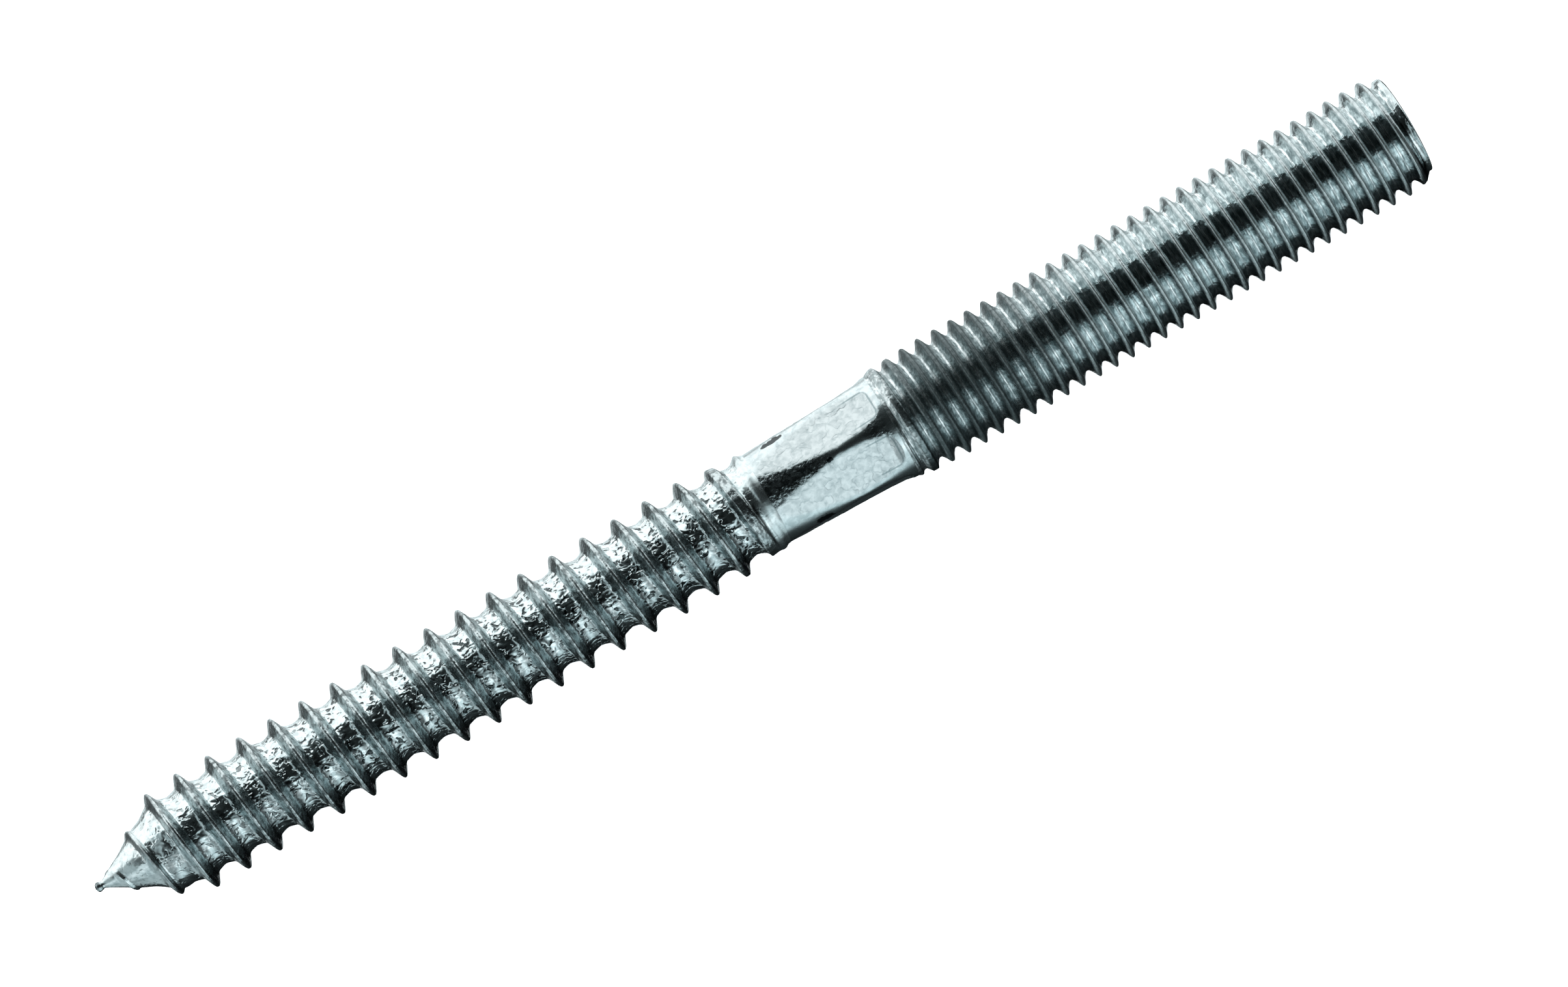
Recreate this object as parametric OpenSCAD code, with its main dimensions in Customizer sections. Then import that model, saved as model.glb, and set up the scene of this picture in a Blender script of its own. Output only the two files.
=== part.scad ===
// Hanger bolt, one rolled steel piece: a wood screw thread with a gimlet point at one end, a metric
// machine thread at the other, and between them a shank with six pressed flats for a spanner.
// It lies on its side along X with the machine end at +X, rests at Z = 0 and is centred on X and Y.

/* [Machine thread] */
// Major diameter of the machine thread
machine_d = 10; // [9.6:0.1:11]
// Pitch of the machine thread
machine_pitch = 1.5; // [1.35:0.05:1.75]
// Depth of the machine thread from crest to root
machine_depth = 0.92; // [0.7:0.02:1]
// Length from the shank to the machine end
machine_length = 47.4; // [30:0.2:58]
// Length over which the machine thread rises from the shank
machine_runout = 3; // [1.5:0.1:6]
// Diameter of the flat end face
end_d = 8.7; // [8.2:0.1:9.4]
// Length of the chamfer at the machine end
end_chamfer = 2; // [0.8:0.1:4]

/* [Wood thread] */
// Major diameter of the wood thread
wood_d = 9.5; // [8.6:0.1:10.5]
// Core diameter of the wood thread
wood_core_d = 6.9; // [6:0.1:7.6]
// Pitch of the wood thread
wood_pitch = 2.85; // [2.4:0.05:4]
// Width of the blunt crest of the wood thread
wood_crest = 0.16; // [0.06:0.02:0.4]
// Length from the tip of the point to the shank
wood_length = 61; // [40:0.5:75]
// Length over which the wood thread fades into the shank
wood_runout = 5.2; // [3:0.1:10]

/* [Point] */
// Length from the tip to the full core
point_length = 6.4; // [4:0.1:12]
// Length from the tip to the full height of the wood thread
point_thread_length = 8.4; // [5:0.1:16]
// Diameter of the blunt nub left at the tip
nub_d = 0.85; // [0.5:0.05:1.4]
// Length of the nub
nub_length = 0.8; // [0.5:0.1:1.6]

/* [Shank] */
// Length of the shank between the two threads
shank_length = 11.6; // [8:0.2:30]
// Diameter of the shank where the wood thread ends
shank_wood_d = 7.9; // [7.7:0.05:8.4]
// Diameter of the shank where the machine thread starts
shank_d = 9; // [8.7:0.05:9.4]
// Length of the taper between the two diameters
shank_taper = 6.5; // [3:0.1:7]
// Width across two opposite flats
across_flats = 8; // [7.6:0.05:8.6]
// Length of plain round neck between the flats and the machine thread
neck_length = 0.5; // [0.4:0.1:2]
// Slope of the ends of the flats
flat_ramp = 45; // [30:1:60]

/* [Facets] */
// Sides of one turn of a thread
sides = 20; // [12:4:24]

/* [Hidden] */
$fn = 96;
zinc = [0.74, 0.78, 0.8];

// Flank angle of both threads, and the crest of the machine thread as a share of its pitch
thread_angle = 60;
machine_crest_share = 1 / 8;
// Share of the wood thread's depth that is a fillet at the root
wood_fillet_share = 0.2;
// Height of the wood thread at the tip, as a share of its full depth
point_thread_share = 0.15;
// Number of flats
flats = 6;
// Share of the unthreaded length that lies at the upper end of a thread
plain_end_share = 0.2;
// How far each core reaches into the shank, and the fine step left where it enters
weld = 0.3;
seam_step = 0.05;

overall_length = wood_length + shank_length + machine_length;
machine_start = wood_length + shank_length;
machine_r = machine_d / 2;
machine_root_r = machine_r - machine_depth;
machine_flank = machine_depth * tan(thread_angle / 2) / machine_pitch;
machine_seat_r = shank_d / 2 - seam_step;
end_r = end_d / 2;

wood_r = wood_d / 2;
wood_core_r = wood_core_d / 2;
wood_depth = wood_r - wood_core_r;
wood_flank = wood_depth * (1 - wood_fillet_share) * tan(thread_angle / 2) / wood_pitch;
wood_crest_share = wood_crest / wood_pitch;
wood_seat_r = shank_wood_d / 2 - seam_step;
nub_r = nub_d / 2;

// Half width across the flats, and the length of the slope at each end of a flat
apothem = across_flats / 2;
ramp_length = max(0, shank_d / 2 - apothem) / tan(flat_ramp);
// A facet of the larger thread lies flat on the ground
rest_height = max(machine_r, wood_r) * cos(180 / sides);

// Thread forms over one pitch, from the start of a crest: [share of pitch, share of depth]
machine_form = [
    [0, 1],
    [machine_crest_share, 1],
    [machine_crest_share + machine_flank, 0],
    [1 - machine_flank, 0]
];
wood_form = [
    [0, 1],
    [wood_crest_share, 1],
    [wood_crest_share + wood_flank, wood_fillet_share],
    [(1 + wood_crest_share) / 2, 0],
    [1 - wood_flank, wood_fillet_share]
];

// Value that goes from a to b as z goes from low to high, and stays level outside them
function ramp(a, b, z, low, high) = a + (b - a) * min(1, max(0, (z - low) / (high - low)));

// Core of the wood thread: a cone at the point, then plain, then up to the shank in the last turn
function wood_core(z) =
    z < point_length
        ? ramp(nub_r, wood_core_r, z, nub_length, point_length)
        : ramp(wood_core_r, wood_seat_r, z, wood_length - wood_pitch, wood_length);

// Radius of the wood thread at height z, at a share of its depth
wood_radius = function(z, share)
    let (
        core = wood_core(z),
        rise = wood_depth * ramp(point_thread_share, 1, z, nub_length, point_thread_length),
        fade = ramp(wood_r, wood_seat_r, z, wood_length - wood_runout, wood_length)
    )
    core + share * max(0, min(core + rise, fade) - core);

// Radius of the machine thread at height z, at a share of its depth, inside the end chamfer
machine_radius = function(z, share)
    let (
        root = ramp(machine_seat_r, machine_root_r, z, machine_start, machine_start + machine_pitch),
        crest = ramp(machine_seat_r, machine_r, z, machine_start, machine_start + machine_runout),
        chamfer = ramp(machine_r, end_r, z, overall_length - end_chamfer, overall_length)
    )
    min(root + share * (crest - root), chamfer);

// Point j of the polygon of radius r at height z, with a flat side at angle zero
function ring_point(j, z, r) =
    let (angle = 360 * (j + 0.5) / sides)
    [r * cos(angle), r * sin(angle), z];

function quad(a, b, c, d) = [[a, b, c], [a, c, d]];

// Closed rod with a right-hand thread rising along +Z. The rings [z, radius] of foot lie below the
// thread and those of head above it. Each row of points follows the helix, so after one turn a row
// meets the row one pitch above it, and a fan of triangles closes each end onto its ring. What is
// left over from whole turns is plain, and most of it lies at the foot.
module threaded_rod(foot, head, pitch, form, radius_at) {
    rows = len(form);
    low = foot[len(foot) - 1][0];
    high = head[0][0];
    turns = floor((high - low) / pitch - 1.5);
    start = low + (1 - plain_end_share) * (high - low - pitch * (turns + 1));
    top = rows * turns;
    end = sides - 1;
    first_ring = (top + 1) * sides;

    thread_points = [
        for (m = [0 : top])
            for (j = [0 : end])
                let (z = start + pitch * (floor(m / rows) + form[m % rows][0] + j / sides))
                ring_point(j, z, radius_at(z, form[m % rows][1]))
    ];
    ring_points = [
        for (ring = concat(foot, head))
            for (j = [0 : end])
                ring_point(j, ring[0], ring[1])
    ];

    function at(m, j) = j < sides ? m * sides + j : (m + rows) * sides + j - sides;
    function foot_at(k, j) = first_ring + k * sides + j % sides;
    function head_at(k, j) = foot_at(len(foot) + k, j);
    last_foot = len(foot) - 1;
    last_head = len(head) - 1;

    thread_faces = [
        for (m = [0 : top - 1])
            for (j = [0 : end])
                if (j < end || m < top - rows)
                    each quad(at(m, j), at(m + 1, j), at(m + 1, j + 1), at(m, j + 1))
    ];
    foot_faces = [
        for (j = [0 : end - 1])
            each quad(foot_at(last_foot, j), at(0, j), at(0, j + 1), foot_at(last_foot, j + 1)),
        for (m = [0 : rows - 1])
            [at(0, end), at(m + 1, 0), at(m, 0)],
        each quad(foot_at(last_foot, end), at(0, end), at(0, 0), foot_at(last_foot, 0)),
        for (k = [0 : 1 : last_foot - 1])
            for (j = [0 : end])
                each quad(foot_at(k, j), foot_at(k + 1, j), foot_at(k + 1, j + 1), foot_at(k, j + 1)),
        [for (j = [0 : end]) foot_at(0, j)]
    ];
    head_faces = [
        for (j = [0 : end - 1])
            each quad(at(top, j), head_at(0, j), head_at(0, j + 1), at(top, j + 1)),
        for (m = [top - rows : top - 1])
            [at(top, 0), at(m, end), at(m + 1, end)],
        each quad(at(top, end), head_at(0, end), head_at(0, 0), at(top, 0)),
        for (k = [0 : 1 : last_head - 1])
            for (j = [0 : end])
                each quad(head_at(k, j), head_at(k + 1, j), head_at(k + 1, j + 1), head_at(k, j + 1)),
        [for (j = [end : -1 : 0]) head_at(last_head, j)]
    ];

    polyhedron(concat(thread_points, ring_points), concat(thread_faces, foot_faces, head_faces));
}

// Wood screw thread from the blunt nub at its tip up into the shank
module wood_end() {
    threaded_rod(
        foot = [[0, nub_r / 2], [nub_length / 4, nub_r], [nub_length, nub_r]],
        head = [[wood_length - weld, wood_seat_r], [wood_length + weld, wood_seat_r]],
        pitch = wood_pitch,
        form = wood_form,
        radius_at = wood_radius
    );
}

// Machine thread from inside the shank to the chamfered end face
module machine_end() {
    threaded_rod(
        foot = [[machine_start - weld, machine_seat_r], [machine_start + weld, machine_seat_r]],
        head = [[overall_length, end_r]],
        pitch = machine_pitch,
        form = machine_form,
        radius_at = machine_radius
    );
}

// Space that one flat takes from the shank, with a slope at each end
module flat_cutter() {
    low = wood_length + weld + ramp_length;
    high = machine_start - neck_length - ramp_length;
    reach = shank_d / 2 - apothem;
    rotate([90, 0, 0])
        linear_extrude(height = across_flats, center = true)
            polygon([
                [apothem, low],
                [apothem, high],
                [apothem + 2 * reach, high + 2 * ramp_length],
                [apothem + 2 * reach, low - 2 * ramp_length]
            ]);
}

// Tapered round shank with its six flats, a corner upward as the bolt lies
module shank() {
    difference() {
        rotate_extrude()
            polygon([
                [0, wood_length],
                [shank_wood_d / 2, wood_length],
                [shank_d / 2, wood_length + shank_taper],
                [shank_d / 2, machine_start],
                [0, machine_start]
            ]);
        for (i = [0 : flats - 1])
            rotate([0, 0, (i + 0.5) * 360 / flats])
                flat_cutter();
    }
}

module hanger_bolt() {
    color(zinc)
        translate([-overall_length / 2, 0, rest_height])
            rotate([0, 90, 0])
                union() {
                    wood_end();
                    shank();
                    machine_end();
                }
}

hanger_bolt();
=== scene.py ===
"""Hanger bolt in bright zinc, lying on a pale floor under soft studio light.

The bolt is one skin, built along its axis from the tip of the wood thread: a gimlet point, a wood
screw thread, a shank with six pressed flats, a machine thread and a chamfered end. Sizes are in
millimetres from the tip, and the skin is laid down in the frame's metres at the end.
"""
import logging
import math
from dataclasses import dataclass, field
from enum import Enum

import bpy
import numpy as np
from mathutils import Matrix, Vector


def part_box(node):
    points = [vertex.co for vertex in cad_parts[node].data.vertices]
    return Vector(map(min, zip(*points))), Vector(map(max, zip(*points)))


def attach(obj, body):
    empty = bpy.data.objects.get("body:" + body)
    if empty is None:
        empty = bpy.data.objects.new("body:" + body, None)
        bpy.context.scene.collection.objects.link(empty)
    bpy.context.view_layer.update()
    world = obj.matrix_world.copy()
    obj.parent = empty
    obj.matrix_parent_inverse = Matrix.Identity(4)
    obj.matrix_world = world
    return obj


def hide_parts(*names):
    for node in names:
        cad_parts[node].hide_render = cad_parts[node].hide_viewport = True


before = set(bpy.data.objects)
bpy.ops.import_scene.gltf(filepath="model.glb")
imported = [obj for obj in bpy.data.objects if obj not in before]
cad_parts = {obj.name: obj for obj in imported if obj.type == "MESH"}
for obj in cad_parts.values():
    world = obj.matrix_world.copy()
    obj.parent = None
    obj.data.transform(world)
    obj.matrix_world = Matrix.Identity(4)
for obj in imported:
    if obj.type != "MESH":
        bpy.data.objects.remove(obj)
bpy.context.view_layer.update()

NODE = "hanger_bolt"
BODY = "root"

MM = 0.001
TAU = 2 * math.pi
COLUMNS = 96
ANGLES = np.arange(COLUMNS) * TAU / COLUMNS

Socket = bpy.types.NodeSocket
Curve = tuple[tuple[float, float], ...]
Colour = tuple[float, float, float, float]
BLACK: Colour = (0.0, 0.0, 0.0, 1.0)

log = logging.getLogger("hanger_bolt")


class Zone(Enum):
    """Stretches of the bolt that were made, and so shine, in different ways."""

    WOOD = 0
    SHANK = 1
    MACHINE = 2


class Trait(Enum):
    """What the skin remembers at each point for its finish, from 0 to 1.

    LINE is 0.5 on the pressed outline of a flat, and more inside it. The others are plain shares.
    """

    CREST = "crest"
    PITTED = "pitted"
    FLAT = "flat"
    NICK = "nick"
    LINE = "line"
    CHATTER = "chatter"


def along(curve: Curve, at: np.ndarray) -> np.ndarray:
    """Reads a curve given by its corner points.

    Args:
        curve: Pairs of place and value, in rising order of place.
        at: Places to read.

    Returns:
        The values, level outside the ends.
    """
    places, values = zip(*curve)
    return np.interp(at, places, values)


def smooth_max(a: np.ndarray, b: np.ndarray, blend: float) -> np.ndarray:
    """Takes the larger of two heights with a fillet where they meet.

    Args:
        a: First height.
        b: Second height.
        blend: Width of the fillet.

    Returns:
        The blended height.
    """
    return (a + b + np.sqrt((a - b) ** 2 + blend**2)) / 2


def smooth_min(a: np.ndarray, b: np.ndarray, blend: float) -> np.ndarray:
    """Takes the smaller of two heights with a rounded edge where they meet."""
    return -smooth_max(-a, -b, blend)


def rounded(away: np.ndarray, width: float, power: float) -> np.ndarray:
    """Eases a distance from a line, so that it starts level and then grows as the distance does.

    Args:
        away: Distances from the line.
        width: Half width of the level part.
        power: How sharply the level part ends.

    Returns:
        The eased distances, short by the width.
    """
    return (away**power + width**power) ** (1 / power) - width


def smooth_step(low: float, high: float, at: np.ndarray) -> np.ndarray:
    """Goes from 0 at low to 1 at high, level at both ends."""
    share = np.clip((at - low) / (high - low), 0, 1)
    return share * share * (3 - 2 * share)


@dataclass(frozen=True)
class Dents:
    """Soft random unevenness over the round of the bolt, closed on itself after a turn."""

    seed: int
    cell: float
    cells_round: int
    length: float = 125.0

    def at(self, z: np.ndarray, theta: np.ndarray) -> np.ndarray:
        """Reads the unevenness.

        Args:
            z: Distances from the tip.
            theta: Angles round the axis.

        Returns:
            Heights between -1 and 1.
        """
        rows = int(self.length / self.cell) + 3
        lattice = np.random.default_rng(self.seed).uniform(-1, 1, (rows, self.cells_round))
        row = np.clip(z / self.cell, 0, rows - 2)
        column = theta / TAU * self.cells_round
        r0 = np.floor(row).astype(int)
        c0 = np.floor(column).astype(int)
        down = smooth_step(0, 1, row - r0)
        across = smooth_step(0, 1, column - c0)
        left = c0 % self.cells_round
        right = (c0 + 1) % self.cells_round
        low = lattice[r0, left] * (1 - across) + lattice[r0, right] * across
        high = lattice[r0 + 1, left] * (1 - across) + lattice[r0 + 1, right] * across
        return low * (1 - down) + high * down


class Skin:
    """Closed skin of the bolt, gathered ring by ring and row by row."""

    def __init__(self) -> None:
        """Starts an empty skin."""
        self.points: list[np.ndarray] = []
        self.traits: dict[Trait, list[np.ndarray]] = {trait: [] for trait in Trait}
        self.faces: list[tuple[int, ...]] = []
        self.zones: list[int] = []
        self.count = 0

    def add(self, z: np.ndarray, theta: np.ndarray, r: np.ndarray, **traits: np.ndarray) -> np.ndarray:
        """Adds points by distance from the tip, angle and radius.

        Args:
            z: Distances from the tip.
            theta: Angles round the axis, from straight down.
            r: Radii.
            **traits: Values by the lower-case name of a trait, 0 where left out.

        Returns:
            The numbers of the new points.
        """
        z, theta, r = np.broadcast_arrays(z, theta, r)
        self.points.append(np.column_stack((z.ravel(), theta.ravel(), r.ravel())))
        for trait in Trait:
            value = np.broadcast_to(traits.get(trait.value, 0.0), z.shape)
            self.traits[trait].append(value.ravel())
        first = self.count
        self.count += z.size
        return np.arange(first, self.count)

    def face(self, zone: Zone, *corners: int) -> None:
        """Adds one face, its corners counter-clockwise from outside."""
        self.faces.append(tuple(int(c) for c in corners))
        self.zones.append(zone.value)

    def band(self, zone: Zone, low: np.ndarray, high: np.ndarray) -> None:
        """Joins two rings with a band of quads.

        Args:
            zone: Stretch that the band belongs to.
            low: Point numbers of the ring nearer the tip.
            high: Point numbers of the next ring.
        """
        for j in range(COLUMNS):
            k = (j + 1) % COLUMNS
            self.face(zone, low[j], low[k], high[k], high[j])

    def cap(self, zone: Zone, ring: np.ndarray, pole: int, outward: int) -> None:
        """Closes a ring onto a point on the axis.

        Args:
            zone: Stretch that the cap belongs to.
            ring: Point numbers of the ring.
            pole: Number of the point on the axis.
            outward: 1 if the cap faces away from the tip, -1 if it faces the other way.
        """
        for j in range(COLUMNS):
            k = (j + 1) % COLUMNS
            pair = (ring[j], ring[k]) if outward > 0 else (ring[k], ring[j])
            self.face(zone, *pair, pole)

    def mesh(self, name: str, axis_height: float, middle: float) -> bpy.types.Mesh:
        """Lays the skin down along X and makes its mesh.

        Args:
            name: Name of the mesh.
            axis_height: Height of the axis above the ground.
            middle: Distance from the tip that comes to lie at X = 0.

        Returns:
            The mesh, in metres, with a float attribute for each trait.
        """
        z, theta, r = np.concatenate(self.points).T
        places = np.column_stack((z - middle, r * np.sin(theta), axis_height - r * np.cos(theta)))
        mesh = bpy.data.meshes.new(name)
        mesh.from_pydata((places * MM).tolist(), [], self.faces)
        mesh.polygons.foreach_set("material_index", self.zones)
        mesh.polygons.foreach_set("use_smooth", [True] * len(self.faces))
        for trait, parts in self.traits.items():
            layer = mesh.attributes.new(trait.value, "FLOAT", "POINT")
            layer.data.foreach_set("value", np.concatenate(parts).astype(np.float32))
        mesh.validate()
        mesh.update()
        return mesh


@dataclass
class Thread:
    """Right-hand thread between two plain rings: what both threads of the bolt share.

    Every column of points climbs the bolt at one angle. Its rows sit at fixed places across the thread,
    so crest and root stay sharp, and fans of triangles close the rows onto the rings at both ends.
    """

    zone: Zone
    pitch: float
    crest_start: float
    low: float
    high: float
    row_places: tuple[float, ...]
    clearance: float = 0.02
    spare_turns: int = 2

    def surface(self, z: np.ndarray, theta: np.ndarray) -> tuple[np.ndarray, dict[str, np.ndarray]]:
        """Works out the skin of the thread.

        Args:
            z: Distances from the tip.
            theta: Angles round the axis.

        Returns:
            The radius, and the traits by name.
        """
        raise NotImplementedError

    def crest_distance(self, z: np.ndarray, theta: np.ndarray) -> np.ndarray:
        """Gives the distance along the axis from the nearest crest."""
        phase = z - self.crest_start - self.pitch * theta / TAU
        return np.abs((phase + self.pitch / 2) % self.pitch - self.pitch / 2)

    def offsets(self) -> tuple[float, ...]:
        """Gives the places of the rows from one crest up to the last one before the next crest."""
        climb = tuple(self.pitch - place for place in reversed(self.row_places))
        return (0.0,) + self.row_places + (self.pitch / 2,) + climb

    def ring(self, skin: Skin, z: float) -> np.ndarray:
        """Adds one plain ring of the thread's skin."""
        radius, traits = self.surface(np.full(COLUMNS, z), ANGLES)
        return skin.add(z, ANGLES, radius, **traits)

    def wind(self, skin: Skin, foot: np.ndarray) -> np.ndarray:
        """Builds the turns of the thread.

        Args:
            skin: Skin that takes the points and faces.
            foot: Point numbers of the ring that the thread starts from.

        Returns:
            Point numbers of the ring that it ends at.
        """
        columns = []
        for j, theta in enumerate(ANGLES):
            first, z = self.heights(j)
            radius, traits = self.surface(z, np.full(z.shape, theta))
            columns.append((first, skin.add(z, theta, radius, **traits)))
        head = self.ring(skin, self.high)
        self.weave(skin, columns, foot, head)
        return head

    def heights(self, column: int) -> tuple[int, np.ndarray]:
        """Finds the rows of one column that lie between the two rings.

        Args:
            column: Number of the column.

        Returns:
            The number of the first row and the distances of all rows from the tip.
        """
        offsets = np.array(self.offsets())
        rows = len(offsets)
        turns = int((self.high - self.low) / self.pitch) + 2 * self.spare_turns
        numbers = np.arange(-self.spare_turns * rows, turns * rows)
        z = self.crest_start + self.pitch * (numbers // rows + column / COLUMNS) + offsets[numbers % rows]
        inside = (z > self.low + self.clearance) & (z < self.high - self.clearance)
        return int(numbers[inside][0]), z[inside]

    def weave(
        self, skin: Skin, columns: list[tuple[int, np.ndarray]], foot: np.ndarray, head: np.ndarray
    ) -> None:
        """Joins the columns with faces, and closes them onto the rings.

        Args:
            skin: Skin that takes the faces.
            columns: First row number and point numbers of each column.
            foot: Point numbers of the ring below the rows.
            head: Point numbers of the ring above them.
        """
        zone = self.zone
        first_again, points_again = columns[0]
        columns = columns + [(first_again - len(self.offsets()), points_again)]
        for j in range(COLUMNS):
            k = (j + 1) % COLUMNS
            a0, a = columns[j]
            b0, b = columns[j + 1]
            low = max(a0, b0)
            high = min(a0 + len(a), b0 + len(b)) - 1
            for m in range(low, high):
                skin.face(zone, a[m - a0], b[m - b0], b[m + 1 - b0], a[m + 1 - a0])
            skin.face(zone, foot[j], foot[k], b[0])
            for m in range(b0, low):
                skin.face(zone, foot[j], b[m - b0], b[m + 1 - b0])
            skin.face(zone, foot[j], b[low - b0], a[low - a0])
            skin.face(zone, a[high - a0], b[high - b0], head[k])
            for m in range(high, a0 + len(a) - 1):
                skin.face(zone, a[m - a0], head[k], a[m + 1 - a0])
            skin.face(zone, a[-1], head[k], head[j])


@dataclass
class WoodThread(Thread):
    """Wood screw thread with a gimlet point, a blunt nub at the tip and a run-out into the shank."""

    zone: Zone = Zone.WOOD
    pitch: float = 2.85
    crest_start: float = 0.62
    height: float = 1.29
    low: float = 0.7
    high: float = 61.2
    steepness: float = 2.5
    crest_width: float = 0.15
    crest_power: float = 3.0
    valley_slope: float = 0.3
    valley_round: float = 0.15
    fillet: float = 0.18
    fillet_sink: float = 0.009
    core: Curve = (
        (0.7, 0.32), (0.9, 0.42), (6.3, 3.38), (6.7, 3.46), (58.6, 3.46), (59.7, 3.66), (61.2, 3.95),
    )
    rise: Curve = ((1.5, 0.0), (2.3, 0.14), (3.2, 0.22), (4.3, 0.34), (5.6, 0.55), (7.1, 0.82), (8.4, 1.0))
    limit: Curve = ((56.0, 4.76), (58.4, 4.34), (61.2, 3.97))
    limit_round: float = 0.05
    nub: Curve = (
        (0.03, 0.17), (0.08, 0.28), (0.15, 0.37), (0.24, 0.42), (0.35, 0.42), (0.46, 0.4), (0.58, 0.35),
    )
    row_places: tuple[float, ...] = (0.09, 0.19, 0.3, 0.42, 0.55, 0.69, 0.9, 1.16)
    pits: Dents = Dents(seed=11, cell=0.62, cells_round=36)
    pit_depth: float = 0.03
    pit_start: Curve = (
        (2.0, 0.1), (5.0, 0.28), (9.0, 0.5), (15.0, 0.8), (24.0, 1.0),
        (58.5, 1.0), (60.0, 0.25), (60.6, 0.0),
    )
    least_uneven: float = 0.25
    bead_place: float = 60.6
    bead_width: float = 0.28
    bead_height: float = 0.2
    nicks: Dents = Dents(seed=12, cell=0.5, cells_round=40)
    nick_depth: float = 0.035
    nick_level: float = 0.5

    def surface(self, z: np.ndarray, theta: np.ndarray) -> tuple[np.ndarray, dict[str, np.ndarray]]:
        """Works out the skin of the thread.

        Args:
            z: Distances from the tip.
            theta: Angles round the axis.

        Returns:
            The radius, and by name the share of the thread's height and the share of pitting.
        """
        away = self.crest_distance(z, theta)
        share = along(self.rise, z)
        ridge = self.height * share - self.steepness * rounded(away, self.crest_width, self.crest_power)
        middle = self.pitch / 2 - away
        valley = self.valley_slope * (np.hypot(middle, self.valley_round) - self.valley_round)
        core = along(self.core, z)
        radius = core + smooth_max(ridge, valley * share, self.fillet) - self.fillet_sink
        radius = smooth_min(radius, along(self.limit, z), self.limit_round)
        radius = radius + self.bead_height * np.exp(-(((z - self.bead_place) / self.bead_width) ** 2))
        crest = np.clip((radius - core) / self.height, 0, 1)
        pitted = along(self.pit_start, z)
        uneven = self.pit_depth * self.pits.at(z, theta) * (1 - crest)
        uneven = uneven + self.nick_depth * crest * (self.nicks.at(z, theta) - self.nick_level)
        radius = radius + uneven * np.maximum(pitted, self.least_uneven) * share
        return radius, {"crest": crest, "pitted": pitted}

    def build(self, skin: Skin) -> np.ndarray:
        """Builds the nub, the point and the thread.

        Args:
            skin: Skin that takes the points and faces.

        Returns:
            Point numbers of the last ring.
        """
        tip = skin.add(0.0, 0.0, 0.0)[0]
        last = None
        for z, r in self.nub:
            ring = skin.add(z, ANGLES, r, crest=1.0, pitted=1.0)
            if last is None:
                skin.cap(self.zone, ring, tip, -1)
            else:
                skin.band(self.zone, last, ring)
            last = ring
        foot = self.ring(skin, self.low)
        skin.band(self.zone, last, foot)
        return self.wind(skin, foot)


@dataclass(frozen=True)
class Nick:
    """Small chip in the shank: where it lies, in degrees from straight down, and how far it reaches."""

    z: float
    angle: float
    half_length: float
    half_width: float
    depth: float
    rim: float = 0.55

    def share(self, z: np.ndarray, theta: np.ndarray, radius: float) -> np.ndarray:
        """Gives how much of the chip is at each place.

        Args:
            z: Distances from the tip.
            theta: Angles round the axis.
            radius: Radius of the shank there.

        Returns:
            Shares from 0 outside the chip to 1 in its middle.
        """
        turn = (theta - math.radians(self.angle) + math.pi) % TAU - math.pi
        reach = np.hypot((z - self.z) / self.half_length, turn * radius / self.half_width)
        return 1 - smooth_step(self.rim, 1.0, reach)


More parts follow.
